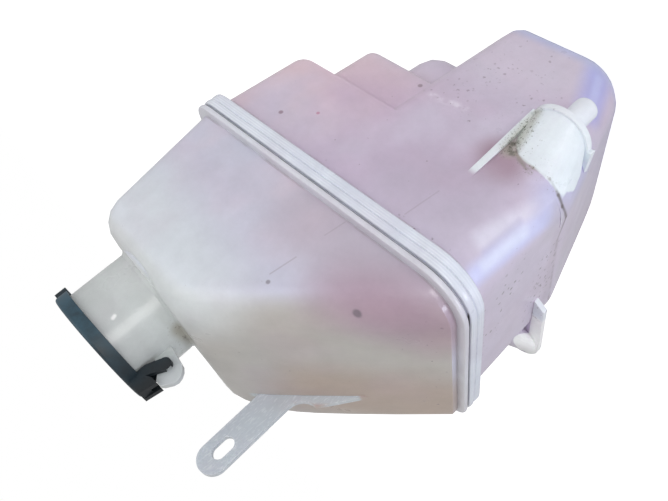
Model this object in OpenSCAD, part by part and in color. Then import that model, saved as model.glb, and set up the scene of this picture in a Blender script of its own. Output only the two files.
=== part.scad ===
// Coolant expansion tank: two welded translucent shells, a filler neck with a hinged black lid,
// a slotted bolt tab and two locating pins. +Z runs up along the filler neck, the broad face that
// looks out of the engine bay is on -Y, and the origin is where the upper locating pin meets its plate.
// Inside the modules x runs from the low end of the weld flange, y from its front edge, z from the weld.

/* [Weld flange] */
// Length of the flange
flange_w = 157; // [150:1:170]
// Depth of the flange, front to back
flange_d = 111; // [104:1:120]
// How far the flange stands out from the tank walls
flange_lip = 4; // [3:0.5:6]
// Height of the upper flange
flange_up_h = 2.6; // [2:0.1:4]
// Height of the lower flange, both bands
flange_low_h = 9; // [7:0.5:12]
// Width of the groove that the weld leaves between the flanges
weld_gap = 0.8; // [0.4:0.1:1.5]
// Corner radius of the flange over the shoulder, at the front
flange_r_shoulder = 21; // [16:1:26]
// Corner radius of the flange at the other corners
flange_r = 11; // [8:1:14]

/* [Shells] */
// Wall thickness
wall = 2.6; // [2:0.1:3.5]
// Height of the top face above the weld, at the neck side
top_h = 68.5; // [62:0.5:72]
// Rise of the top face from the neck side to the shoulder
top_rise = 4.6; // [0:0.2:8]
// Where the top face turns into the sloping shoulder
shoulder_x = 78; // [70:1:84]
// Height above the weld at which the shoulder starts
shoulder_h = 5; // [4:0.5:10]
// Lean of the neck-side wall of the upper shell, in degrees
side_lean = 7.5; // [5:0.5:12]
// Lean of the front face, in degrees
front_lean = 2; // [0.5:0.25:3]
// Lean of the upper shell's back wall, in degrees
back_lean = 2.5; // [1:0.5:6]
// Edge radius round the top face
top_edge_r = 12; // [8:0.5:14]

/* [Stepped lower shell] */
// Depth of the first step below the weld
step1_d = 51.5; // [44:0.5:56]
// Depth of the second step
step2_d = 77; // [70:1:82]
// Depth of the closed end
end_d = 131; // [120:1:138]
// Length left beyond the first step
step1_x = 130; // [124:1:136]
// Length left beyond the second step
step2_x = 90; // [85:1:96]
// How far the face of the middle block lies below the main face
step_drop = 1.5; // [1:0.25:4]
// Depth at which the low-end wall starts to lean in
knee_d = 66; // [58:1:74]
// Lean of the low-end wall beyond the knee, in degrees
knee_lean = 17; // [12:1:22]
// Long corner radius at the front of the low end
long_edge_r = 19; // [14:1:22]

/* [Filler neck] */
// Place of the neck's axis along the flange
neck_x = 111.5; // [108:0.5:114]
// Place of the neck's axis from the front
neck_y = 38; // [35:1:46]
// Outer radius of the neck
neck_r = 24.5; // [22:0.25:26]
// Wall of the neck
neck_wall = 2.5; // [2:0.1:3.5]
// Height of the neck's rim above the weld
neck_rim_h = 98.4; // [90:0.2:110]

/* [Lid] */
// Height of the lid from its lower edge to its top
lid_h = 5.8; // [5:0.1:8]
// How far the lid's skirt reaches down over the rim
skirt_reach = 2.4; // [1.5:0.1:3]
// Gap between the skirt and the neck
skirt_gap = 0.8; // [0.6:0.05:1.2]
// Wall of the skirt
skirt_wall = 1.6; // [1.2:0.1:2.5]
// Thickness of the rubber seal
seal_t = 1.3; // [1:0.1:2]
// Reach of the thumb tab from the neck's axis
thumb_reach = 31.5; // [30:0.5:38]
// Width of the thumb tab
thumb_w = 16; // [10:1:22]

/* [Hinge] */
// Distance of the hinge axis from the neck's axis
hinge_out = 30.5; // [30.25:0.25:32]
// Distance of the hinge axis below the lid's lower edge
hinge_drop = 10; // [9.6:0.2:11]
// Thickness of the ear that carries the trunnions
ear_t = 2.6; // [2.4:0.1:3.4]
// Radius of the trunnions
trunnion_r = 1.5; // [1.3:0.1:1.8]
// How far the hinge's middle lies ahead of the neck's axis
hinge_shift = 2; // [0:0.25:3]
// Thickness of each hinge arm
arm_t = 2.2; // [2.2:0.1:3]
// Running gap between arm and ear
arm_gap = 0.4; // [0.35:0.05:0.8]

/* [Bolt tab] */
// Place of the tab's centre line along the flange
tab_x = 60.5; // [56:0.5:64]
// Place of the tab's middle plane from the front
tab_y = 83; // [78:1:88]
// Width of the tab
tab_w = 14.6; // [12:0.2:18]
// Thickness of the tab
tab_t = 3; // [2.5:0.1:4]
// Height of the slot's centre above the weld
tab_slot_h = 91; // [84:0.5:96]
// Width of the slot
slot_w = 6.5; // [5.5:0.1:8.5]
// Length of the slot
slot_l = 11.5; // [9.5:0.1:14]

/* [Locating pins] */
// Radius of the pins
pin_r = 5; // [4:0.25:6]
// Length of the pins
pin_l = 11; // [9:0.5:14]
// Place of the upper pin along the flange
pin_x = 21.5; // [20:0.5:24]
// Place of the upper pin from the front
pin_y = 1; // [0:0.5:3]
// Depth of the upper pin's shoulder below the weld
pin_d = 84.5; // [80:0.5:90]
// Thickness of the plates that carry the pins
plate_t = 2.6; // [2:0.1:4]
// Radius of the plates
plate_r = 13.8; // [13.8:0.1:16]
// Place of the lower pin along the flange
low_pin_x = 12; // [10:0.5:14]
// How far the lower pin stands behind the back wall
low_pin_out = 11; // [8:0.5:13]
// Depth of the lower pin's shoulder below the weld
low_pin_d = 53; // [48:1:58]

/* [Hose spigot] */
// Outer radius of the spigot
spigot_r = 5; // [4:0.25:7]
// Bore radius of the spigot
spigot_bore_r = 3.4; // [2.5:0.1:4.5]
// Length of the spigot
spigot_l = 20; // [16:1:26]
// Height of the bead that holds the hose
spigot_bead = 0.8; // [0.4:0.1:1.2]
// Place of the spigot along the flange
spigot_x = 54; // [48:1:60]
// Place of the spigot from the front
spigot_y = 62; // [56:1:68]

/* [Hidden] */
$fn = 96;
corner_steps = 7;
lid_low = neck_rim_h - skirt_reach;
lid_top = lid_low + lid_h;
bore_r = neck_r - neck_wall;
skirt_in_r = neck_r + skirt_gap;
lid_r = skirt_in_r + skirt_wall;
hinge_x = neck_x - hinge_out;
hinge_z = lid_low - hinge_drop;
seat_gap = 0.35;
boss_r = 19.2;
boss_wall = 1.8;
boss_h = 2;
trunnion_play = 0.08;

// A rounded rectangle from corner lo to corner hi at height z. The radii run from the low
// front corner, by the neck-side front and back corners, to the low back corner.
function ring(lo, hi, radii, z, rise = 0) =
    let (
        centres = [
            [lo[0] + radii[0], lo[1] + radii[0]],
            [hi[0] - radii[1], lo[1] + radii[1]],
            [hi[0] - radii[2], hi[1] - radii[2]],
            [lo[0] + radii[3], hi[1] - radii[3]]
        ]
    )
    [for (c = [0 : 3], s = [0 : corner_steps])
        let (
            a = 180 + 90 * c + 90 * s / corner_steps,
            x = centres[c][0] + radii[c] * cos(a),
            y = centres[c][1] + radii[c] * sin(a)
        )
        [x, y, z + rise * (hi[0] - x)]];

// A closed solid through rings that all have the same number of points, lowest first.
module loft(rings) {
    n = len(rings[0]);
    m = len(rings);
    sides = [for (k = [0 : m - 2], i = [0 : n - 1])
        let (j = (i + 1) % n)
        [k * n + i, (k + 1) * n + i, (k + 1) * n + j, k * n + j]];
    bottom = [for (i = [0 : n - 1]) i];
    top = [for (i = [n - 1 : -1 : 0]) (m - 1) * n + i];
    polyhedron([for (r = rings, p = r) p], concat(sides, [bottom, top]), 2);
}

// How far a wall has turned in at height h, where it rounds off with radius r up to height top.
function round_in(h, top, r) =
    let (u = min(r, max(0, h - (top - r))))
    r - sqrt(r * r - u * u);

// Upper shell. w is 0 for the outside and the wall thickness for the inside.
slope_run = (shoulder_x - flange_lip) / (top_h - shoulder_h);
top_hi_x = flange_w - flange_lip - top_h * tan(side_lean);
top_tilt = top_rise / (top_hi_x - shoulder_x);
shell_r = flange_r - flange_lip + 1;
back_r = 14;
back_top_r = 24;
back_lip = 1.5;
low_back_r = 6;
shoulder_top_r = 20;
shoulder_turn = 0.35;
function upper_ring(h, w) =
    let (
        top = top_h - w,
        r = top_edge_r - w,
        turn = round_in(h, top, r),
        back_turn = round_in(h, top, back_top_r - w),
        low_r = flange_r_shoulder - flange_lip,
        front_low_r = low_r + (shoulder_top_r - low_r) * h / top_h,
        slope_w = w * sqrt(1 + slope_run * slope_run),
        lo = [
            max(flange_lip + w, flange_lip + slope_w + (h - shoulder_h) * slope_run)
                + shoulder_turn * turn,
            flange_lip + w + h * tan(front_lean) + turn
        ],
        hi = [
            flange_w - flange_lip - w - h * tan(side_lean) - turn,
            flange_d - back_lip - w - h * tan(back_lean) - back_turn
        ]
    )
    ring(lo, hi,
        [max(1, front_low_r - w - turn), max(1, shell_r - w - turn),
            max(1, back_r - w - turn / 2), max(1, low_back_r - w - turn / 2)],
        h, top_tilt * h / top_h);

upper_levels = [0, shoulder_h, 0.3 * top_h, 0.5 * top_h];
module upper_solid(w, base) {
    top = top_h - w;
    edge_r = back_top_r - w;
    levels = concat(upper_levels, [for (t = [0 : 15 : 90]) top - edge_r * (1 - sin(t))]);
    loft(concat(
        [for (p = [upper_ring(0, w)]) [for (q = p) [q[0], q[1], base]]],
        [for (k = [1 : len(levels) - 1]) upper_ring(levels[k], w)]));
}

// Lower shell, by depth d below the weld.
knee_soft = 2;
end_r = [9, 8, 22, 9];
step_edge_r = 4;
wall_lean = 1;
side_lean_low = 6;
function knee(d) =
    abs(d - knee_d) < knee_soft
        ? pow(d - knee_d + knee_soft, 2) / (4 * knee_soft)
        : max(0, d - knee_d);
function low_lo(d, w) = [
    flange_lip + w + d * tan(wall_lean) + knee(d) * (tan(knee_lean) - tan(wall_lean)),
    flange_lip + w + d * tan(front_lean)
];
function low_back(d, w) = flange_d - flange_lip - w - d * tan(wall_lean);
function low_ring(d, w, hi_x) =
    let (
        end = end_d - w,
        turns = [for (r = end_r) round_in(d, end, r - w)],
        lo = low_lo(d, w) + [turns[0], turns[1]],
        hi = [hi_x - turns[3], low_back(d, w) - turns[2]],
        soft = max(turns[0], turns[1])
    )
    ring(lo, hi,
        [max(1, long_edge_r - w - soft), max(1, shell_r - w - soft),
            max(1, back_r - w - soft), max(1, back_r - w - soft)],
        -d);

module main_block(w, base) {
    end = end_d - w;
    step = step1_d - w;
    step_r = step_edge_r - w / 2;
    fine = 0.4;
    side = flange_w - flange_lip - w;
    before = concat([base], [for (t = [0 : 22.5 : 90]) step - step_r * (1 - sin(t))]);
    after = concat(
        [step + fine],
        [for (k = [-1 : 1]) knee_d + k * knee_soft],
        [for (t = [0 : 15 : 90]) end - (end_r[2] - w) * (1 - sin(t))]);
    rings = concat(
        [for (d = before)
            low_ring(d, w, side - d * tan(side_lean_low) - round_in(d, step, step_r))],
        [for (d = after)
            low_ring(d, w, step2_x - w - (d - step1_d) * tan(side_lean_low))]);
    loft([for (k = [len(rings) - 1 : -1 : 0]) rings[k]]);
}

// A block that fills a step: from x0 out to x1, from depth d0 to d1, with its face set back by drop.
module step_block(x0, x1, d0, d1, drop, edge_r, w) {
    end = d1 - w;
    r = edge_r - w / 2;
    levels = concat([d0], [for (t = [0 : 22.5 : 90]) end - r * (1 - sin(t))]);
    loft([for (k = [len(levels) - 1 : -1 : 0])
        let (
            d = levels[k],
            turn = round_in(d, end, r),
            lo = [x0, low_lo(d, w)[1] + drop + turn],
            hi = [x1 - w - max(0, d - d0) * tan(side_lean_low) - turn,
                low_back(d, w) - drop - turn]
        )
        ring(lo, hi, [1, 1, 1, 1] * max(1, shell_r - w - turn), -d)]);
}

hump_x = 107;
hump_d = 101;
hump_drop = 5;
hump_r = 15;
fill_x = 62;
module lower_solid(w, base) {
    main_block(w, base);
    step_block(fill_x + w, step1_x, step1_d - 18, step2_d, step_drop, step_edge_r, w);
    step_block(fill_x + w, hump_x, step2_d - 14, hump_d, hump_drop, hump_r, w);
}

// One half of the weld flange. profile lists heights, lowest first, each with its set-in.
flange_radii = [flange_r_shoulder, flange_r, flange_r, flange_r];
low_mid = flange_low_h / 2;
upper_profile = [[0, 0.7], [0.4, 0.2], [0.9, 0], [flange_up_h - 0.7, 0],
    [flange_up_h - 0.2, 0.3], [flange_up_h, 0.8]];
lower_profile = [[-flange_low_h, 1.4], [-flange_low_h + 0.5, 0.6], [-flange_low_h + 1.2, 0.2],
    [-low_mid - 0.5, 0.2], [-low_mid, 0.7], [-low_mid + 0.5, 0.2], [-low_mid + 1.1, 0],
    [-weld_gap - 0.9, 0], [-weld_gap - 0.3, 0.3], [-weld_gap, 0.9]];
module flange_band(profile) {
    loft([for (p = profile)
        ring([p[1], p[1]], [flange_w - p[1], flange_d - p[1]], [for (r = flange_radii) r - p[1]],
            p[0])]);
}

// The slotted tab that the tank is bolted by, with its foot along the shoulder.
foot_x0 = 26;
foot_x1 = 72;
function shoulder_z(x) = shoulder_h + (x - flange_lip) / slope_run;
module bolt_tab() {
    half = tab_w / 2;
    end_z = tab_slot_h + (slot_l - slot_w) / 2 + 3.5;
    blend_r = 9;
    translate([0, tab_y + tab_t / 2, 0])
        rotate([90, 0, 0])
            difference() {
                union() {
                    translate([tab_x - half, shoulder_z(tab_x) - 8, 0])
                        cube([tab_w, end_z - shoulder_z(tab_x) + 8, tab_t]);
                    translate([tab_x, end_z, 0])
                        cylinder(r = half, h = tab_t);
                    linear_extrude(tab_t)
                        polygon(concat(
                            [[foot_x1, shoulder_z(foot_x1) - 3], [foot_x0, shoulder_z(foot_x0) - 3]],
                            [[foot_x0, shoulder_z(foot_x0) + 1]],
                            [for (t = [0 : 15 : 90])
                                [tab_x - half - blend_r * (1 - sin(t)),
                                    shoulder_z(tab_x - half) + 3 + blend_r * (1 - cos(t))]],
                            [[tab_x + half, shoulder_z(tab_x + half) + 2]]));
                }
                for (s = [-1, 1])
                    translate([tab_x, tab_slot_h + s * (slot_l - slot_w) / 2, -1])
                        cylinder(d = slot_w, h = tab_t + 2);
                translate([tab_x - slot_w / 2, tab_slot_h - (slot_l - slot_w) / 2, -1])
                    cube([slot_w, slot_l - slot_w, tab_t + 2]);
            }
}

// The ear on the neck, with a trunnion on each side that the lid's arms clip over.
trunnion_l = 1.6;
hinge_y = neck_y - hinge_shift;
module hinge_ear() {
    root_x = neck_x - bore_r - 1;
    outline = [[root_x, hinge_z - 6.6], [hinge_x - 4.4, hinge_z - 4.5], [hinge_x - 6.4, hinge_z - 3.2],
        [hinge_x - 7.8, hinge_z - 1.2], [hinge_x - 8.3, hinge_z + 0.8], [hinge_x - 7.8, hinge_z + 2.8],
        [hinge_x - 5.8, hinge_z + 5.9], [hinge_x - 4.6, hinge_z + 6.8], [hinge_x - 2.2, hinge_z + 6.8],
        [hinge_x + 1.6, hinge_z + 3.6], [hinge_x + 4, hinge_z + 2.2], [root_x, hinge_z + 1.8]];
    translate([0, hinge_y + ear_t / 2, 0])
        rotate([90, 0, 0])
            linear_extrude(ear_t)
                polygon(outline);
    reach = ear_t / 2 + arm_gap + trunnion_l;
    translate([hinge_x, hinge_y + reach, hinge_z])
        rotate([90, 0, 0])
            cylinder(r = trunnion_r, h = 2 * reach);
}

module upper_tank_half() {
    fillet_r = 3;
    sink = 0.35;
    foot_h = top_h + top_tilt * (top_hi_x - top_edge_r - neck_x);
    color("ghostwhite") {
        difference() {
            union() {
                upper_solid(0, 0);
                flange_band(upper_profile);
                translate([neck_x, neck_y, foot_h - 4])
                    cylinder(r = neck_r, h = neck_rim_h - foot_h + 4);
                translate([neck_x, neck_y, foot_h])
                    rotate([0, atan(top_tilt), 0])
                        rotate_extrude()
                            polygon(concat(
                                [[neck_r - 1.5, fillet_r - sink], [neck_r - 1.5, -4]],
                                [[neck_r - sink + fillet_r, -4]],
                                [for (t = [0 : 15 : 90])
                                    [neck_r - sink + fillet_r * (1 - sin(t)),
                                        fillet_r * (1 - cos(t)) - sink]]));
                hinge_ear();
                bolt_tab();
            }
            upper_solid(wall, -1);
            translate([neck_x, neck_y, top_h - wall - 3])
                cylinder(r = bore_r, h = neck_rim_h);
        }
    }
}

// A plate across the tank that carries a locating pin on its lower side. Above it a web tapers
// back into the tank's corner, whose centre and radius are corner_c and corner_r. The web's outer
// edge runs by the points in rim, which are given above the plate's lower side.
module pin_bracket(at, plate_c, tail, corner_c, corner_r, web_rise, rim = []) {
    tip_r = 2;
    web_in = 1.2;
    skin = 0.1;
    translate(at) {
        translate([0, 0, -pin_l + tip_r])
            cylinder(r = pin_r, h = pin_l + plate_t - tip_r);
        translate([0, 0, -pin_l + tip_r])
            rotate_extrude()
                polygon(concat([[0, 0]], [for (t = [0 : 15 : 90])
                    [pin_r - tip_r + tip_r * cos(t), -tip_r * sin(t)]], [[0, -tip_r]]));
    }
    translate([plate_c[0], plate_c[1], at[2]])
        cylinder(r = plate_r, h = plate_t);
    translate([0, 0, at[2]])
        linear_extrude(plate_t)
            polygon(tail);
    hull() {
        translate([plate_c[0], plate_c[1], at[2] + plate_t - skin])
            cylinder(r = plate_r - web_in, h = skin, $fn = 40);
        translate([corner_c[0], corner_c[1], at[2] + plate_t + web_rise])
            cylinder(r = corner_r, h = skin, $fn = 40);
        for (p = rim)
            translate([p[0], p[1], at[2] + p[2]])
                sphere(r = 1, $fn = 16);
    }
}

module hose_spigot() {
    translate([spigot_x, spigot_y, -end_d - spigot_l]) {
        cylinder(r = spigot_r, h = spigot_l + wall);
        translate([0, 0, 2])
            cylinder(r1 = spigot_r, r2 = spigot_r + spigot_bead, h = 2);
        translate([0, 0, 4])
            cylinder(r = spigot_r + spigot_bead, h = 1);
    }
}

low_pin_y = flange_d - flange_lip + low_pin_out;
module lower_tank_half() {
    fin_x = 35.8;
    fin_t = 3;
    fin_d0 = 42;
    fin_top = 3.8;
    fin_root = 8;
    web_rise = 22;
    low_rise = 14;
    web_bury = 0.6;
    web_proud = 0.4;
    weld_in = 1.6;
    low_wall = low_lo(pin_d, 0);
    web_lo = low_lo(pin_d - plate_t - web_rise, 0);
    color("ghostwhite") {
        difference() {
            union() {
                lower_solid(0, 0);
                flange_band(lower_profile);
                flange_band([[-low_mid, weld_in], [0, weld_in]]);
                pin_bracket([pin_x, pin_y, -pin_d], [pin_x + 3.5, pin_y + 8],
                    [[low_wall[0] - 1.4, pin_y + 7.5], [low_wall[0] + 4, pin_y + 54],
                        [low_wall[0] + 12, pin_y + 52], [low_wall[0] + 20, pin_y + 11]],
                    web_lo + [long_edge_r - web_proud, long_edge_r + web_bury], long_edge_r, web_rise,
                    [[low_wall[0] - 0.6, pin_y + 14.5, 8.5]]);
                pin_bracket([low_pin_x, low_pin_y, -low_pin_d], [low_pin_x, low_pin_y - 1],
                    [[low_pin_x - plate_r, low_pin_y - 2], [low_pin_x + 6, low_pin_y - 2],
                        [low_pin_x + 6, low_pin_y - 54], [low_pin_x - plate_r + 1, low_pin_y - 38]],
                    [flange_lip + back_r + web_bury, low_back(0, 0) - back_r - 1], back_r, low_rise);
                translate([fin_x, 0, 0])
                    rotate([90, 0, 90])
                        linear_extrude(fin_t)
                            polygon([[fin_root, -fin_d0 + 2], [low_lo(fin_d0, 0)[1], -fin_d0],
                                [fin_top, -pin_d + plate_t], [fin_top, -pin_d], [fin_root, -pin_d]]);
                hose_spigot();
            }
            lower_solid(wall, -1);
            translate([spigot_x, spigot_y, -end_d - spigot_l - 1])
                cylinder(r = spigot_bore_r, h = spigot_l + wall + 3);
        }
    }
}

// The lid's disc with its skirt, thumb tab, and the two arms that clip over the trunnions. Each
// arm is drawn lying down, with its outer face up, and has a blind snap recess in its inner face.
module lid_arm() {
    hook_r = trunnion_r + 1.2;
    recess = trunnion_l + 0.2;
    throat = trunnion_r * 1.6;
    arm_x1 = neck_x - neck_r - 0.4;
    arm_x0 = arm_x1 - arm_w;
    difference() {
        union() {
            translate([hinge_x, hinge_z, 0])
                cylinder(r = hook_r, h = arm_t);
            linear_extrude(arm_t)
                polygon([[hinge_x - hook_r + 0.6, hinge_z + 1.6], [arm_x0, lid_low + 0.5],
                    [arm_x1, lid_low + 0.5], [arm_x1, lid_low - 4], [hinge_x + hook_r - 0.1, hinge_z - 0.6]]);
            linear_extrude(arm_t)
                polygon([[bridge_x0, lid_low - 3], [bridge_x0 + 1.6, lid_low + bridge_h],
                    [arm_x0 + 1, lid_low + bridge_h], [arm_x0 + 1, lid_low - 0.6],
                    [bridge_x0 + 3.4, lid_low - 3]]);
        }
        translate([hinge_x, hinge_z, -1])
            cylinder(r = trunnion_r + trunnion_play, h = recess + 1);
        translate([hinge_x - hook_r - 1, hinge_z - throat / 2, -1])
            cube([hook_r + 1, throat, recess + 1]);
    }
}

arm_w = 2.8;
bridge_h = 4.6;
bridge_x0 = hinge_x - 4.4;
module filler_lid() {
    round_r = 1.2;
    seat_z = neck_rim_h + seat_gap + seal_t;
    arm_y = ear_t / 2 + arm_gap;
    bridge_w = 2 * (arm_y + arm_t);
    color("#1c2530") {
        translate([neck_x, neck_y, 0])
            rotate_extrude()
                polygon(concat(
                    [[0, lid_top]],
                    [for (t = [90 : -18 : 0])
                        [lid_r - round_r + round_r * cos(t), lid_top - round_r + round_r * sin(t)]],
                    [[lid_r, lid_low], [skirt_in_r, lid_low], [skirt_in_r, seat_z],
                        [boss_r, seat_z], [boss_r, seat_z - boss_h],
                        [boss_r - boss_wall, seat_z - boss_h], [boss_r - boss_wall, seat_z],
                        [0, seat_z]]));
        translate([neck_x + skirt_in_r + 0.4, neck_y - thumb_w / 2, lid_low - 0.2])
            cube([thumb_reach - skirt_in_r - 0.4, thumb_w, lid_h - 0.4]);
        translate([bridge_x0 + 1.6, hinge_y - bridge_w / 2, lid_low + 0.2])
            cube([neck_x - skirt_in_r - 0.4 - bridge_x0 - 1.6, bridge_w, bridge_h - 0.2]);
        translate([0, hinge_y - arm_y, 0])
            rotate([90, 0, 0])
                lid_arm();
        translate([0, hinge_y + arm_y, 0])
            mirror([0, 1, 0])
                rotate([90, 0, 0])
                    lid_arm();
    }
}

module lid_seal() {
    color("#2b2b2b")
        translate([neck_x, neck_y, neck_rim_h + seat_gap])
            difference() {
                cylinder(r = skirt_in_r - 0.3, h = seal_t);
                translate([0, 0, -1])
                    cylinder(r = boss_r + 0.3, h = seal_t + 2);
            }
}

origin = [-pin_x, -pin_y, pin_d];
translate(origin) upper_tank_half();
translate(origin) lower_tank_half();
translate(origin) filler_lid();
translate(origin) lid_seal();
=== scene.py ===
import math

import bmesh
import bpy
from mathutils import Matrix, Vector


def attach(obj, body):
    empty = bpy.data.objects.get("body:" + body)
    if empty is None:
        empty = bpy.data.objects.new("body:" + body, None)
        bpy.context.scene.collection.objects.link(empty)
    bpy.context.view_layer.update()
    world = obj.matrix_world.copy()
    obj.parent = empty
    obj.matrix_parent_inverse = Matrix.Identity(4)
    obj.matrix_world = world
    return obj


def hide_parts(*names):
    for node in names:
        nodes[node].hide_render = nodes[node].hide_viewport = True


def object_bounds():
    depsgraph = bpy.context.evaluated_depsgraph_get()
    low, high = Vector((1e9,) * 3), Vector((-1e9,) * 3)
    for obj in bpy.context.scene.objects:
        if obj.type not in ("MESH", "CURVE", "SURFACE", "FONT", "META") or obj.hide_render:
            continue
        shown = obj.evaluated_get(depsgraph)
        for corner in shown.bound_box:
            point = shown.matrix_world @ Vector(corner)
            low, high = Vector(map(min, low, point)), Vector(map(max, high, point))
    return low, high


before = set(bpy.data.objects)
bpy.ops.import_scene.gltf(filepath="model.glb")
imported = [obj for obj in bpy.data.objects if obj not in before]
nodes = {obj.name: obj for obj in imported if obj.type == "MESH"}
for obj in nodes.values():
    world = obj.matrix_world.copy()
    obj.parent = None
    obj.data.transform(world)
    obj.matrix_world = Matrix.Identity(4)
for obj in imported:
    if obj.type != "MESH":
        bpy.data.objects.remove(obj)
size_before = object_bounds()

# Upper half: the moulded shell of milky polypropylene with its filler neck, hinge ear and bolt tab,
# welded to the lower half at the flange. Its faces are the CAD's own, with normals that keep flat
# faces flat and corners soft, and its colour carries the stains, scratches and grime of use, with
# some painted shade and highlights.


def add(tree, kind, props=None, **values):
    made = tree.nodes.new(kind)
    for name, value in (props or {}).items():
        setattr(made, name, value)
    for name, value in values.items():
        label = int(name[1:]) if name[1:].isdigit() else name.replace("_", " ")
        socket = made.inputs[label]
        if hasattr(value, "is_output"):
            tree.links.new(value, socket)
        else:
            socket.default_value = value
    return made


def group(name, ins, outs):
    tree = bpy.data.node_groups.new(name, "ShaderNodeTree")
    for label, kind in ins.items():
        tree.interface.new_socket(label, in_out="INPUT", socket_type="NodeSocket" + kind)
    for label, kind in outs.items():
        tree.interface.new_socket(label, in_out="OUTPUT", socket_type="NodeSocket" + kind)
    given = tree.nodes.new("NodeGroupInput").outputs
    wanted = tree.nodes.new("NodeGroupOutput").inputs
    return tree, given, wanted


def math_node(tree, how, a, b=0.0, c=0.0):
    return add(tree, "ShaderNodeMath", {"operation": how}, i0=a, i1=b, i2=c).outputs[0]


def vector_node(tree, how, a, b=(0.0, 0.0, 0.0)):
    made = add(tree, "ShaderNodeVectorMath", {"operation": how}, i0=a, i1=b)
    return made.outputs["Value" if how in ("DOT_PRODUCT", "LENGTH") else "Vector"]


def scaled(tree, vector, scale):
    made = add(tree, "ShaderNodeVectorMath", {"operation": "SCALE"}, i0=vector, Scale=scale)
    return made.outputs[0]


def ramp(tree, value, low, high):
    props = {"interpolation_type": "SMOOTHSTEP"}
    made = add(tree, "ShaderNodeMapRange", props, i0=value, i1=low, i2=high, i3=0.0, i4=1.0)
    return made.outputs[0]


# Shader group: a soft stroke between two points, or a round spot where both are one.
stroke, ins, outs = group(
    "stroke",
    {"Position": "Vector", "Start": "Vector", "End": "Vector", "Width": "Float", "Soft": "Float"},
    {"Mask": "Float"},
)
from_start = vector_node(stroke, "SUBTRACT", ins["Position"], ins["Start"])
along = vector_node(stroke, "SUBTRACT", ins["End"], ins["Start"])
never_zero = 1e-9
reach = math_node(stroke, "ADD", vector_node(stroke, "DOT_PRODUCT", along, along), never_zero)
share = math_node(stroke, "DIVIDE", vector_node(stroke, "DOT_PRODUCT", from_start, along), reach)
share = add(stroke, "ShaderNodeClamp", i0=share).outputs[0]
foot = scaled(stroke, along, share)
away = vector_node(stroke, "LENGTH", vector_node(stroke, "SUBTRACT", from_start, foot))
edge = math_node(stroke, "ADD", ins["Width"], ins["Soft"])
stroke.links.new(ramp(stroke, away, edge, ins["Width"]), outs["Mask"])

# Shader group: cloudy patches, where Low and High set how much of the surface is covered.
cloud, ins, outs = group(
    "cloud",
    {"Position": "Vector", "Scale": "Float", "Detail": "Float", "Low": "Float", "High": "Float"},
    {"Mask": "Float"},
)
noise = add(
    cloud, "ShaderNodeTexNoise",
    Vector=ins["Position"], Scale=ins["Scale"], Detail=ins["Detail"],
)
cloud.links.new(ramp(cloud, noise.outputs[0], ins["Low"], ins["High"]), outs["Mask"])

# Shader group: dark specks of dirt of uneven size and outline, in the given Share of the cells.
specks, ins, outs = group(
    "specks",
    {"Position": "Vector", "Scale": "Float", "Size": "Float", "Share": "Float"},
    {"Mask": "Float"},
)
uneven = 0.0016
least = 0.25
wobble = add(specks, "ShaderNodeTexNoise", Vector=ins["Position"], Scale=900.0, Detail=2.0)
moved = vector_node(
    specks, "ADD", ins["Position"], scaled(specks, wobble.outputs["Color"], uneven)
)
cells = add(specks, "ShaderNodeTexVoronoi", Vector=moved, Scale=ins["Scale"])
draw = vector_node(specks, "DOT_PRODUCT", cells.outputs["Color"], (13.7, 7.3, 3.9))
chosen = math_node(specks, "LESS_THAN", math_node(specks, "FRACT", draw), ins["Share"])
grade = math_node(specks, "FRACT", math_node(specks, "MULTIPLY", draw, 5.3))
grade = math_node(specks, "MULTIPLY_ADD", grade, 1.0 - least, least)
reach = math_node(specks, "MULTIPLY", ins["Size"], grade)
core = math_node(specks, "MULTIPLY", reach, 0.4)
dot = ramp(specks, cells.outputs["Distance"], reach, core)
specks.links.new(math_node(specks, "MULTIPLY", dot, chosen), outs["Mask"])

# Shader group: smears of handling and dust, a value round one half.
smear, ins, outs = group(
    "smear",
    {"Position": "Vector", "Scale": "Float", "Detail": "Float", "Roughness": "Float"},
    {"Value": "Float"},
)
noise = add(
    smear, "ShaderNodeTexNoise",
    Vector=ins["Position"], Scale=ins["Scale"], Detail=ins["Detail"], Roughness=ins["Roughness"],
)
smear.links.new(noise.outputs[0], outs["Value"])

# Shader group: the mould's fine grain over shallow dents, as a height.
grain, ins, outs = group(
    "grain",
    {"Position": "Vector", "Scale": "Float", "Dents": "Float"},
    {"Height": "Float"},
)
fine = add(grain, "ShaderNodeTexNoise", Vector=ins["Position"], Scale=ins["Scale"], Detail=3.0)
dents = add(grain, "ShaderNodeTexNoise", Vector=ins["Position"], Scale=38.0, Detail=2.0)
relief = math_node(grain, "MULTIPLY_ADD", dents.outputs[0], ins["Dents"], fine.outputs[0])
grain.links.new(relief, outs["Height"])


def blend(tree, colour, mask, tint, strength):
    factor = math_node(tree, "MULTIPLY", mask, strength)
    props = {"data_type": "RGBA"}
    made = add(tree, "ShaderNodeMix", props, i0=factor, i6=colour, i7=(*tint, 1.0))
    return made.outputs[2]


def placed(tree, kind, place, **values):
    made = tree.nodes.new("ShaderNodeGroup")
    made.node_tree = kind
    tree.links.new(place, made.inputs["Position"])
    for name, value in values.items():
        made.inputs[name].default_value = value
    return made.outputs[0]


def split(tree, vector):
    return add(tree, "ShaderNodeSeparateXYZ", i0=vector).outputs


def start_milky(name, base):
    material = bpy.data.materials.new(name)
    material.use_nodes = True
    tree = material.node_tree
    place = tree.nodes.new("ShaderNodeTexCoord").outputs["Object"]
    colour = tree.nodes.new("ShaderNodeRGB").outputs[0]
    colour.default_value = (*base, 1.0)
    return material, tree, place, colour


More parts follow.
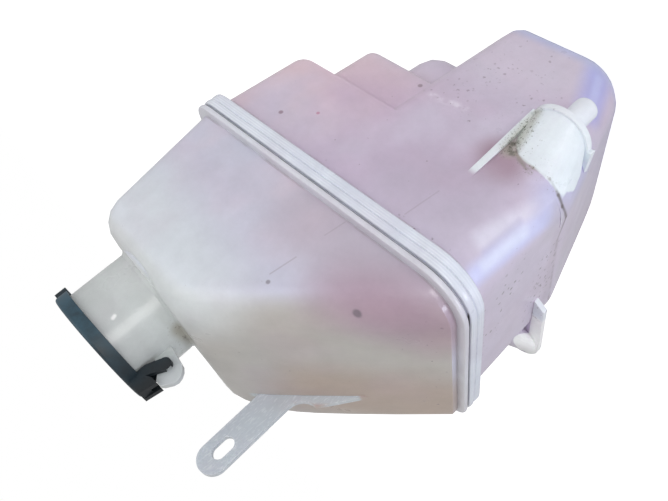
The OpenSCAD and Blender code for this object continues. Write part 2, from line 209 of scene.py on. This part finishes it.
# A mark is start, end, width, soft edge, colour, strength and, where it is patchy, cloud scale.
def add_marks(tree, place, colour, marks):
    for start, end, width, soft, tint, strength, *scale in marks:
        mask = placed(tree, stroke, place, Start=start, End=end, Width=width, Soft=soft)
        if scale:
            patch = placed(tree, cloud, place, Scale=scale[0], Detail=4.0, Low=0.34, High=0.6)
            mask = math_node(tree, "MULTIPLY", mask, patch)
        colour = blend(tree, colour, mask, tint, strength)
    return colour


# A band is low, high, soft edge, colour, strength and, where it is patchy, cloud scale.
def add_bands(tree, place, colour, bands):
    height = split(tree, place)[2]
    for low, high, soft, tint, strength, *scale in bands:
        rise = ramp(tree, height, low - soft, low)
        mask = math_node(tree, "MULTIPLY", rise, ramp(tree, height, high + soft, high))
        if scale:
            patch = placed(tree, cloud, place, Scale=scale[0], Detail=5.0, Low=0.36, High=0.58)
            mask = math_node(tree, "MULTIPLY", mask, patch)
        colour = blend(tree, colour, mask, tint, strength)
    return colour


# An area of dots is start, end, width, soft edge, then colour, strength, scale, size and share.
def add_dots(tree, place, colour, areas):
    for start, end, width, soft, tint, strength, scale, size, share in areas:
        mask = placed(tree, stroke, place, Start=start, End=end, Width=width, Soft=soft)
        dots = placed(tree, specks, place, Scale=scale, Size=size, Share=share)
        mask = math_node(tree, "MULTIPLY", mask, dots)
        colour = blend(tree, colour, mask, tint, strength)
    return colour


def deepen(tree, colour, value):
    made = add(tree, "ShaderNodeHueSaturation", Saturation=1.2, Value=value, Color=colour)
    return made.outputs[0]


def finish_milky(tree, place, colour, dirt):
    shader = tree.nodes["Principled BSDF"]
    for scale, size in ((170.0, 0.17), (70.0, 0.09), (420.0, 0.2)):
        spots = placed(tree, specks, place, Scale=scale, Size=size, Share=dirt)
        colour = blend(tree, colour, spots, (0.22, 0.17, 0.22), 0.6)
    bloom = placed(tree, cloud, place, Scale=26.0, Detail=6.0, Low=0.42, High=0.66)
    colour = blend(tree, colour, bloom, (0.56, 0.42, 0.52), 0.16)
    mottle = placed(tree, smear, place, Scale=75.0, Detail=8.0, Roughness=0.72)
    value = math_node(tree, "MULTIPLY_ADD", mottle, 0.3, 0.85)
    colour = add(tree, "ShaderNodeHueSaturation", Value=value, Color=colour).outputs[0]
    tree.links.new(colour, shader.inputs["Base Color"])
    shader.inputs["Subsurface Weight"].default_value = 0.35
    shader.inputs["Subsurface Radius"].default_value = (1.0, 0.9, 1.0)
    shader.inputs["Subsurface Scale"].default_value = 0.003
    shader.inputs["IOR"].default_value = 1.49
    shader.inputs["Coat Weight"].default_value = 0.35
    shader.inputs["Coat Roughness"].default_value = 0.16
    handled = placed(tree, smear, place, Scale=60.0, Detail=4.0, Roughness=0.5)
    dull = math_node(tree, "MULTIPLY_ADD", handled, 0.3, 0.18)
    tree.links.new(dull, shader.inputs["Roughness"])
    relief = placed(tree, grain, place, Scale=700.0, Dents=9.0)
    bump = add(tree, "ShaderNodeBump", Strength=0.3, Distance=0.0002, Height=relief)
    tree.links.new(bump.outputs[0], shader.inputs["Normal"])


def smooth_copy(node, name, body, material):
    one_point = 0.000002
    sharpest_soft = math.radians(33.0)
    source = nodes[node].data
    mesh = bpy.data.meshes.new(name)
    points = [v.co.copy() for v in source.vertices]
    mesh.from_pydata(points, [], [tuple(p.vertices) for p in source.polygons])
    work = bmesh.new()
    work.from_mesh(mesh)
    bmesh.ops.remove_doubles(work, verts=work.verts, dist=one_point)
    for face in work.faces:
        face.smooth = True
    for edge in work.edges:
        edge.smooth = len(edge.link_faces) == 2 and edge.calc_face_angle(0.0) < sharpest_soft
    work.to_mesh(mesh)
    work.free()
    made = bpy.data.objects.new(name, mesh)
    bpy.context.scene.collection.objects.link(made)
    weighted = made.modifiers.new("weighted", "WEIGHTED_NORMAL")
    weighted.keep_sharp = True
    weighted.weight = 60
    mesh.materials.append(material)
    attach(made, body)
    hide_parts(node)


# The big faces: bluish milky plastic, with painted shade that makes it darker and browner where it
# faces up, a painted highlight along the front's top edge, pink stains, two scratches and a few specks.
upper, tree, place, colour = start_milky("milky_upper", (0.77, 0.77, 0.89))
facing = tree.nodes.new("ShaderNodeTexCoord").outputs["Normal"]
# Painted shade: faces that turn up are darker and browner.
upward_shade = ramp(tree, split(tree, facing)[2], 0.25, 0.7)
colour = blend(tree, colour, upward_shade, (0.61, 0.585, 0.54), 0.92)
scratch = (0.42, 0.38, 0.44)
colour = add_marks(tree, place, colour, [
    ((0.125, 0.0, 0.092), (0.06, 0.0, 0.092), 0.006, 0.03, (1.0, 0.86, 0.96), 0.85, 16.0),
    # Painted highlight: a bluish-white band along the front's rounded top edge.
    ((0.115, 0.0, 0.14), (0.06, 0.0, 0.15), 0.008, 0.03, (0.91, 0.97, 1.0), 0.7),
    ((0.045, 0.0, 0.09), (0.0, 0.0, 0.095), 0.006, 0.03, (0.62, 0.56, 0.64), 0.7),
    ((0.0098, 0.0, 0.1129), (-0.014, 0.021, 0.0923), 0.002, 0.026, (0.50, 0.36, 0.44), 0.8),
    ((-0.006, 0.035, 0.099), (0.02, 0.04, 0.121), 0.004, 0.03, (0.56, 0.44, 0.40), 0.6, 14.0),
    ((0.0233, 0.0757, 0.1243), (-0.0094, 0.0892, 0.0963), 0.010, 0.03, (0.54, 0.42, 0.35), 0.75),
    ((0.041, 0.0043, 0.1222), (0.0389, 0.0039, 0.111), 0.0001, 0.0004, scratch, 0.45),
    ((0.0375, 0.0034, 0.0973), (0.0358, 0.0031, 0.0883), 0.0001, 0.0004, scratch, 0.4),
    ((0.039, 0.0, 0.1249), (0.039, 0.008, 0.1249), 0.0005, 0.0007, (0.3, 0.28, 0.32), 0.75),
    ((0.0081, 0.004, 0.115), (0.0081, 0.014, 0.108), 0.0009, 0.0011, (0.2, 0.17, 0.2), 0.8),
    ((0.0428, 0.044, 0.1411), (0.0428, 0.048, 0.1411), 0.0004, 0.0007, (0.3, 0.26, 0.24), 0.6),
    ((0.0393, 0.0794, 0.1375), (0.0393, 0.0794, 0.1392), 0.0005, 0.0009, (0.1, 0.09, 0.08), 0.85),
])
colour = add_dots(tree, place, colour, [
    ((-0.01, 0.02, 0.094), (-0.01, 0.09, 0.094), 0.002, 0.008,
     (0.16, 0.12, 0.14), 0.7, 500.0, 0.45, 0.2),
    ((0.02, 0.05, 0.125), (0.05, 0.05, 0.14), 0.01, 0.03,
     (0.3, 0.26, 0.24), 0.5, 300.0, 0.2, 0.08),
])
colour = deepen(tree, colour, 0.8)

# The neck: greener and unstained, brighter low down, with grime at its foot and the ear's pale face.
neck_axis = (0.09, 0.037, 0.0)
across = vector_node(tree, "SUBTRACT", place, neck_axis)
apart = vector_node(tree, "LENGTH", vector_node(tree, "MULTIPLY", across, (1.0, 1.0, 0.0)))
height = split(tree, place)[2]
on_neck = ramp(tree, apart, 0.0300, 0.0266)
on_neck = math_node(tree, "MULTIPLY", on_neck, ramp(tree, height, 0.1525, 0.1545))
colour = blend(tree, colour, on_neck, (0.53, 0.56, 0.55), 0.9)
low_neck = math_node(tree, "MULTIPLY", on_neck, ramp(tree, height, 0.172, 0.166))
colour = blend(tree, colour, low_neck, (0.64, 0.68, 0.68), 0.5)
glint = (1.0, 1.0, 1.0)
colour = add_marks(tree, place, colour, [
    ((0.0893, 0.0125, 0.1534), (0.0773, 0.0161, 0.1549), 0.0004, 0.0008, glint, 0.9),
    ((0.067, 0.03, 0.1575), (0.062, 0.05, 0.1535), 0.0006, 0.0050, (0.33, 0.30, 0.23), 0.65),
    ((0.0655, 0.036, 0.1575), (0.0635, 0.05, 0.1545), 0.0004, 0.0014, (0.10, 0.09, 0.07), 0.7, 160.0),
    ((0.08, 0.0147, 0.1737), (0.0803, 0.0147, 0.1727), 0.0002, 0.0010, glint, 0.8),
    ((0.055, 0.035, 0.1705), (0.0575, 0.035, 0.1705), 0.0075, 0.001, (0.53, 0.57, 0.57), 0.85),
])
colour = add_dots(tree, place, colour, [
    ((0.066, 0.03, 0.157), (0.066, 0.045, 0.160), 0.002, 0.007,
     (0.14, 0.12, 0.1), 0.7, 1100.0, 0.5, 0.25),
])

# The bolt tab: clear of stains, with worn, lighter streaks along it.
tab_y = 0.082
depth = split(tree, place)[1]
off = math_node(tree, "ABSOLUTE", math_node(tree, "SUBTRACT", depth, tab_y))
tab = placed(
    tree, stroke, place,
    Start=(0.039, tab_y, 0.146), End=(0.039, tab_y, 0.19), Width=0.009, Soft=0.003,
)
root = placed(
    tree, stroke, place,
    Start=(0.034, tab_y, 0.138), End=(0.014, tab_y, 0.121), Width=0.003, Soft=0.002,
)
tab = math_node(tree, "MAXIMUM", tab, root)
tab = math_node(tree, "MULTIPLY", tab, ramp(tree, off, 0.0021, 0.0017))
colour = blend(tree, colour, tab, (0.55, 0.61, 0.655), 0.85)
stretched = vector_node(tree, "MULTIPLY", place, (260.0, 40.0, 60.0))
wear = placed(tree, smear, stretched, Scale=5.0, Detail=2.0, Roughness=0.5)
worn = math_node(tree, "MULTIPLY", tab, ramp(tree, wear, 0.52, 0.66))
colour = blend(tree, colour, worn, (0.74, 0.79, 0.82), 0.5)

# The weld flange: a pale edge, dust on its step and a dark line where the halves meet.
colour = add_bands(tree, place, colour, [
    (0.0849, 0.0871, 0.0002, (0.70, 0.72, 0.78), 0.8),
    (0.0873, 0.0878, 0.0004, (0.3, 0.27, 0.28), 0.4, 75.0),
    (0.0841, 0.0846, 0.0002, (0.07, 0.06, 0.07), 0.5),
    (0.0840, 0.0847, 0.0002, (0.03, 0.03, 0.03), 0.85, 45.0),
])
finish_milky(tree, place, colour, 0.02)
smooth_copy("upper_tank_half", "upper_shell", "tank", upper)

# Lower half: the stepped shell of the same milky polypropylene, moulded with its pin brackets and
# hose spigot. Coolant has stained it pink and purple; its rounded edges carry painted highlights,
# and a dark line along the low end's crease is painted shade with dirt in it.
lower, tree, place, colour = start_milky("milky_lower", (0.80, 0.735, 0.87))
colour = add_marks(tree, place, colour, [
    ((0.125, 0.0, 0.07), (0.09, 0.0, 0.03), 0.012, 0.035, (0.95, 0.76, 0.82), 0.85, 12.0),
    ((0.07, 0.0, 0.05), (0.03, 0.0, 0.03), 0.014, 0.035, (0.70, 0.56, 0.72), 0.8, 13.0),
    ((0.05, 0.0, -0.03), (0.02, 0.0, -0.02), 0.012, 0.03, (0.74, 0.60, 0.74), 0.6, 20.0),
    # Painted shadow of the upper bracket, tinted brown-pink as a stain.
    ((0.010, 0.005, 0.030), (0.013, 0.005, 0.026), 0.003, 0.012, (0.42, 0.28, 0.34), 0.75),
    ((0.05, 0.006, -0.022), (0.02, 0.006, -0.03), 0.006, 0.022, (0.90, 0.86, 0.97), 0.6),
    ((0.012, 0.004, 0.05), (0.03, 0.004, 0.055), 0.006, 0.02, (0.66, 0.60, 0.72), 0.6),
])
colour = deepen(tree, colour, 0.77)

# Painted highlights: bluish streaks along the low end's rounded edge and the closed end's corner, with
# painted shade between and beside them; then scratches, specks, and the crease's dark line, painted
# shade with dirt in it.
colour = add_marks(tree, place, colour, [
    ((-0.0119, 0.0115, 0.0291), (-0.0068, 0.0065, 0.06), 0.0008, 0.006, (0.78, 0.77, 0.90), 0.6),
    ((-0.0105, 0.0095, 0.0437), (-0.0099, 0.0082, 0.0628), 0.0003, 0.0026, (0.50, 0.48, 0.66), 0.5),
    ((-0.0146, 0.0155, 0.0321), (-0.0128, 0.0105, 0.0712), 0.0008, 0.006, (0.62, 0.66, 0.98), 0.75),
    ((-0.0133, 0.013, 0.044), (-0.0128, 0.0105, 0.066), 0.0003, 0.004, (0.80, 0.85, 1.0), 0.45),
    ((-0.0122, 0.013, 0.0259), (-0.0092, 0.0167, 0.0015), 0.003, 0.012, (0.52, 0.53, 0.76), 0.7),
    ((-0.0159, 0.0197, 0.0251), (-0.0160, 0.0240, 0.0300), 0.002, 0.008, (0.52, 0.48, 0.55), 0.5),
    ((0.0030, 0.0102, -0.02), (0.0112, 0.0094, -0.0378), 0.002, 0.009, (0.36, 0.40, 0.80), 0.75),
    ((0.0041, 0.0102, -0.022), (0.0102, 0.0094, -0.0358), 0.0004, 0.003, (0.56, 0.62, 0.92), 0.5),
    ((0.0573, 0.0054, 0.0169), (0.0407, 0.0055, 0.0139), 0.0004, 0.0025, (0.86, 0.82, 0.92), 0.6, 240.0),
    ((0.0212, 0.0035, 0.071), (0.0191, 0.004, 0.0545), 0.0001, 0.0004, (0.38, 0.32, 0.4), 0.45),
    ((0.1008, 0.0, 0.0647), (0.1008, 0.008, 0.0647), 0.0007, 0.0007, (0.3, 0.2, 0.26), 0.8),
    ((0.0874, 0.0, 0.0548), (0.0874, 0.008, 0.0548), 0.0005, 0.0006, (0.5, 0.22, 0.34), 0.8),
    ((0.0658, 0.0, 0.0138), (0.0658, 0.012, 0.0138), 0.0007, 0.0007, (0.25, 0.18, 0.22), 0.8),
    # A dark line along the low end's crease: painted shade with dirt in it.
    ((-0.0163, 0.0253, 0.0207), (-0.0164, 0.0372, 0.0243), 0.0002, 0.0008, (0.14, 0.12, 0.14), 0.7),
    ((-0.0164, 0.0372, 0.0243), (-0.0164, 0.0912, 0.0208), 0.0003, 0.0010, (0.22, 0.18, 0.22), 0.75,
     150.0),
    ((-0.0164, 0.03, 0.026), (-0.0164, 0.0912, 0.024), 0.001, 0.004, (0.52, 0.46, 0.56), 0.6),
])
# Painted highlight: a bluish band round the closed end's rounded edge; then a patchy band of dust below
# the flange.
colour = add_bands(tree, place, colour, [
    (-0.06, -0.0420, 0.007, (0.52, 0.57, 0.84), 0.8),
    (0.0738, 0.0753, 0.0006, (0.34, 0.28, 0.32), 0.4, 80.0),
])

# What stands out of the shell, the brackets and pins, is whiter. The shell's own corner is found
# from its drafted low end and front, which lean out with the depth below the weld.
weld_z = 0.0845
side_draft = 0.0175
front_draft = 0.0349
knee_depth = 0.066
knee_draft = 0.2883
shell = split(tree, place)
depth = math_node(tree, "SUBTRACT", weld_z, shell[2])
leaning = math_node(tree, "MAXIMUM", math_node(tree, "SUBTRACT", depth, knee_depth), 0.0)
side = math_node(tree, "MULTIPLY_ADD", depth, side_draft, 0.0015)
side = math_node(tree, "MULTIPLY_ADD", leaning, knee_draft, side)
front = math_node(tree, "MULTIPLY_ADD", depth, front_draft, 0.022)
over_x = math_node(tree, "MAXIMUM", math_node(tree, "SUBTRACT", side, shell[0]), 0.0)
over_y = math_node(tree, "MAXIMUM", math_node(tree, "SUBTRACT", front, shell[1]), 0.0)
squares = math_node(tree, "MULTIPLY", over_y, over_y)
squares = math_node(tree, "MULTIPLY_ADD", over_x, over_x, squares)
proud = ramp(tree, math_node(tree, "SQRT", squares), 0.01912, 0.0194)
behind = math_node(tree, "MULTIPLY_ADD", depth, side_draft, shell[1])
low_pin = placed(
    tree, stroke, place,
    Start=(-0.0095, 0.117, 0.02), End=(-0.0095, 0.117, 0.035), Width=0.008, Soft=0.006,
)
low_pin = math_node(tree, "MULTIPLY", low_pin, ramp(tree, behind, 0.1063, 0.1068))
proud = math_node(tree, "MAXIMUM", proud, low_pin)
proud = math_node(tree, "MULTIPLY", proud, ramp(tree, shell[2], 0.072, 0.070))
colour = blend(tree, colour, proud, (0.82, 0.89, 0.94), 0.92)
# Painted light: the low bracket's web faces down, away from the lamps, and is painted white so it looks
# lit.
painted_light_web = placed(
    tree, stroke, place,
    Start=(-0.018, 0.118, 0.03), End=(-0.019, 0.1, 0.038), Width=0.012, Soft=0.004,
)
painted_light_web = math_node(tree, "MULTIPLY", painted_light_web, proud)
colour = blend(tree, colour, painted_light_web, (1.0, 1.0, 1.0), 0.9)

# Grime in the upper bracket's corner, the crease's dark line on along it (painted shade with dirt), and
# dust dots on the faces.
colour = add_marks(tree, place, colour, [
    ((0.0135, 0.001, 0.004), (0.012, 0.0052, 0.0215), 0.001, 0.005, (0.42, 0.42, 0.33), 0.6),
    ((0.0125, 0.0045, 0.018), (0.0105, 0.0052, 0.0215), 0.0008, 0.0025, (0.09, 0.09, 0.06), 0.8,
     500.0),
    # From here: the dark line along the crease, painted shade with dirt in it, darker towards the low
    # end.
    ((0.011, 0.0052, 0.0215), (-0.001, 0.0055, 0.0255), 0.0003, 0.0012, (0.26, 0.24, 0.2), 0.7,
     300.0),
    ((0.0092, 0.0053, 0.0216), (-0.0002, 0.0055, 0.023), 0.0002, 0.0010, (0.34, 0.31, 0.26), 0.6),
    ((-0.0002, 0.0055, 0.023), (-0.0070, 0.0079, 0.0219), 0.0002, 0.0010, (0.34, 0.30, 0.28), 0.65),
    ((-0.0070, 0.0079, 0.0219), (-0.0123, 0.0125, 0.0228), 0.0003, 0.0009, (0.22, 0.20, 0.20), 0.75),
    ((-0.0123, 0.0125, 0.0228), (-0.0149, 0.0171, 0.0230), 0.0003, 0.0009, (0.14, 0.12, 0.12), 0.85),
    ((-0.0149, 0.0171, 0.0230), (-0.0163, 0.0253, 0.0207), 0.0003, 0.0009, (0.12, 0.10, 0.11), 0.85),
])
colour = add_dots(tree, place, colour, [
    ((0.0135, 0.001, 0.004), (0.012, 0.0052, 0.0215), 0.001, 0.005,
     (0.06, 0.06, 0.04), 0.9, 1300.0, 0.62, 0.85),
    ((0.012, 0.003, 0.01), (0.001, 0.005, 0.0235), 0.001, 0.008,
     (0.1, 0.1, 0.06), 0.7, 1300.0, 0.48, 0.3),
    ((0.0, 0.005, 0.022), (-0.010, 0.012, 0.022), 0.001, 0.003,
     (0.16, 0.15, 0.1), 0.6, 1300.0, 0.5, 0.4),
    ((0.0438, 0.006, -0.0095), (0.0163, 0.006, -0.0035), 0.005, 0.016,
     (0.2, 0.14, 0.2), 0.5, 430.0, 0.42, 0.4),
    ((0.0449, 0.0066, -0.021), (0.03, 0.0066, -0.03), 0.004, 0.012,
     (0.2, 0.14, 0.2), 0.45, 500.0, 0.42, 0.4),
    ((0.06, 0.0054, 0.007), (0.045, 0.0054, 0.009), 0.003, 0.012,
     (0.2, 0.14, 0.2), 0.5, 480.0, 0.42, 0.35),
    ((-0.0166, 0.045, 0.028), (-0.0167, 0.0793, 0.0345), 0.003, 0.009,
     (0.1, 0.09, 0.11), 0.85, 520.0, 0.55, 0.5),
    ((-0.0169, 0.03, 0.054), (-0.0171, 0.0566, 0.0683), 0.002, 0.012,
     (0.16, 0.14, 0.16), 0.8, 450.0, 0.5, 0.4),
    ((-0.0171, 0.03, 0.074), (-0.0175, 0.08, 0.074), 0.001, 0.005,
     (0.12, 0.1, 0.12), 0.85, 600.0, 0.52, 0.4),
    ((-0.012, 0.005, 0.0745), (0.03, 0.002, 0.0745), 0.0005, 0.003,
     (0.2, 0.16, 0.2), 0.8, 600.0, 0.5, 0.3),
])

# The weld flange's lower edge: pale, with fine ridges along it drawn as pale lines of painted highlight,
# black in the groove at the low end.
colour = add_bands(tree, place, colour, [
    (0.0756, 0.0840, 0.0003, (0.70, 0.75, 0.85), 0.9),
    (0.0798, 0.0800, 0.0002, (0.5, 0.5, 0.56), 0.4, 60.0),
    (0.0841, 0.0846, 0.0002, (0.07, 0.06, 0.07), 0.5),
    (0.0840, 0.0847, 0.0002, (0.03, 0.03, 0.03), 0.85, 45.0),
])
colour = add_marks(tree, place, colour, [
    ((-0.0200, 0.012, 0.0844), (-0.0200, 0.100, 0.0844), 0.0007, 0.0003, (0.01, 0.01, 0.01), 0.95),
])
# Painted highlights: pale lines where the flange's fine ridges would catch the light.
lines_per_metre = 5600.0
waves = math_node(tree, "SINE", math_node(tree, "MULTIPLY", depth, lines_per_metre))
ridge_highlights = math_node(tree, "MULTIPLY_ADD", waves, 0.5, 0.5)
ridge_highlights = math_node(tree, "MULTIPLY", ridge_highlights, ramp(tree, shell[2], 0.0758, 0.0764))
streaky = placed(tree, cloud, place, Scale=45.0, Detail=3.0, Low=0.35, High=0.65)
ridge_highlights = math_node(tree, "MULTIPLY", ridge_highlights, streaky)
colour = blend(tree, colour, ridge_highlights, (0.90, 0.95, 1.0), 0.5)
finish_milky(tree, place, colour, 0.05)
smooth_copy("lower_tank_half", "lower_shell", "tank", lower)

# Lid: a moulded cap of black plastic with bluish smears of dust and a painted sheen, strongest in a
# band across its rim and darker near its hinge. Its two arms clip over the trunnions of the neck's
# ear, and it swings up about them.
black = bpy.data.materials.new("worn_black")
black.use_nodes = True
tree = black.node_tree
shader = tree.nodes["Principled BSDF"]
place = tree.nodes.new("ShaderNodeTexCoord").outputs["Object"]
handled = placed(tree, smear, place, Scale=70.0, Detail=6.0, Roughness=0.6)
along = split(tree, place)[0]
# Painted sheen: the smears are made strongest in a band along the rim.
dust_and_sheen = ramp(tree, along, 0.062, 0.088)
dust_and_sheen = math_node(tree, "MULTIPLY", dust_and_sheen, ramp(tree, along, 0.122, 0.100))
near_hinge = math_node(tree, "MULTIPLY", ramp(tree, along, 0.055, 0.068), 0.3)
dust_and_sheen = math_node(tree, "MULTIPLY_ADD", dust_and_sheen, 0.8, near_hinge)
dust_and_sheen = math_node(tree, "MULTIPLY", dust_and_sheen, ramp(tree, handled, 0.28, 0.66))
tint = add(
    tree, "ShaderNodeMix", {"data_type": "RGBA"},
    i0=dust_and_sheen, i6=(0.006, 0.009, 0.012, 1.0), i7=(0.030, 0.078, 0.112, 1.0),
)
tree.links.new(tint.outputs[2], shader.inputs["Base Color"])
dull = math_node(tree, "MULTIPLY_ADD", handled, 0.4, 0.28)
tree.links.new(dull, shader.inputs["Roughness"])
relief = placed(tree, grain, place, Scale=1200.0, Dents=0.0)
bump = add(tree, "ShaderNodeBump", Strength=0.15, Distance=0.0001, Height=relief)
tree.links.new(bump.outputs[0], shader.inputs["Normal"])
smooth_copy("filler_lid", "lid_cover", "lid", black)

# Seal: a flat ring of dull black rubber that sits in the lid around its boss.
# It is pressed on the neck's rim when the lid is shut.
rubber = bpy.data.materials.new("dull_rubber")
rubber.use_nodes = True
tree = rubber.node_tree
shader = tree.nodes["Principled BSDF"]
place = tree.nodes.new("ShaderNodeTexCoord").outputs["Object"]
bloom = placed(tree, smear, place, Scale=240.0, Detail=4.0, Roughness=0.5)
tint = add(
    tree, "ShaderNodeMix", {"data_type": "RGBA"},
    i0=ramp(tree, bloom, 0.45, 0.7), i6=(0.012, 0.012, 0.012, 1.0), i7=(0.035, 0.034, 0.032, 1.0),
)
tree.links.new(tint.outputs[2], shader.inputs["Base Color"])
shader.inputs["Roughness"].default_value = 0.75
nodes["lid_seal"].data.materials.clear()
nodes["lid_seal"].data.materials.append(rubber)

# Floor: a wide pale sheet of paper just under the tank. It takes the tank's shadow and is white to
# the camera.
floor_gap = 0.0005
bpy.ops.mesh.primitive_plane_add(size=8.0, location=(0.0, 0.0, size_before[0].z - floor_gap))
floor = bpy.context.object
floor.name = "floor"
paper = bpy.data.materials.new("pale_floor")
paper.use_nodes = True
tree = paper.node_tree
shader = tree.nodes["Principled BSDF"]
shader.inputs["Base Color"].default_value = (0.8, 0.8, 0.8, 1.0)
shader.inputs["Roughness"].default_value = 0.9
shader.inputs["Emission Color"].default_value = (1.0, 1.0, 1.0, 1.0)
seen = tree.nodes.new("ShaderNodeLightPath").outputs["Is Camera Ray"]
tree.links.new(math_node(tree, "MULTIPLY", seen, 0.7), shader.inputs["Emission Strength"])
floor.data.materials.append(paper)

# Light: a pale sky all round, white to the camera, with three soft panels. The key comes from the
# front, the fill from the camera's left, and a small bluish one grazes the low end's rounded edge.
sky_light = 0.57
sky_seen = 1.0
world = bpy.data.worlds.new("sky")
bpy.context.scene.world = world
world.use_nodes = True
tree = world.node_tree
back = tree.nodes["Background"]
back.inputs["Color"].default_value = (1.0, 1.0, 1.0, 1.0)
seen = tree.nodes.new("ShaderNodeLightPath").outputs["Is Camera Ray"]
strength = math_node(tree, "MULTIPLY_ADD", seen, sky_seen - sky_light, sky_light)
tree.links.new(strength, back.inputs["Strength"])

right = Vector((-0.6812, 0.1559, -0.7153))
up = Vector((0.5381, -0.5558, -0.6337))
toward = Vector((-0.4963, -0.8166, 0.2947))
middle = Vector((0.045, 0.05, 0.06))
for name, way, distance, power, width, tint in (
    ("key", Vector((-0.55, -0.8, 0.15)), 0.9, 1.7, 0.3, (1.0, 0.99, 0.97)),
    ("fill", right * -0.8 + toward * 0.6, 0.9, 2.0, 0.7, (1.0, 1.0, 1.0)),
    ("edge", Vector((-0.94, -0.23, -0.2)), 0.36, 0.18, 0.06, (0.82, 0.88, 1.0)),
):
    lamp = bpy.data.objects.new(name, bpy.data.lights.new(name, "AREA"))
    lamp.data.energy = power
    lamp.data.size = width
    lamp.data.color = tint
    lamp.location = middle + way.normalized() * distance
    lamp.rotation_mode = "QUATERNION"
    lamp.rotation_quaternion = (middle - lamp.location).to_track_quat("-Z", "Y")
    bpy.context.scene.collection.objects.link(lamp)

# Camera: from the front, a little above the weld flange and rolled as the photograph is.
# Its place, turn and lens come from a fit to the tank's own corners.
camera = bpy.data.objects.new("camera", bpy.data.cameras.new("camera"))
bpy.context.scene.collection.objects.link(camera)
turned = Matrix((right, up, toward)).transposed().to_4x4()
camera.matrix_world = Matrix.Translation((-0.0913, -0.1959, 0.1718)) @ turned
camera.data.sensor_width = 36.0
camera.data.lens = 35.85
camera.data.clip_start = 0.01
camera.data.clip_end = 20.0
bpy.context.scene.camera = camera
bpy.context.scene.view_settings.view_transform = "Standard"
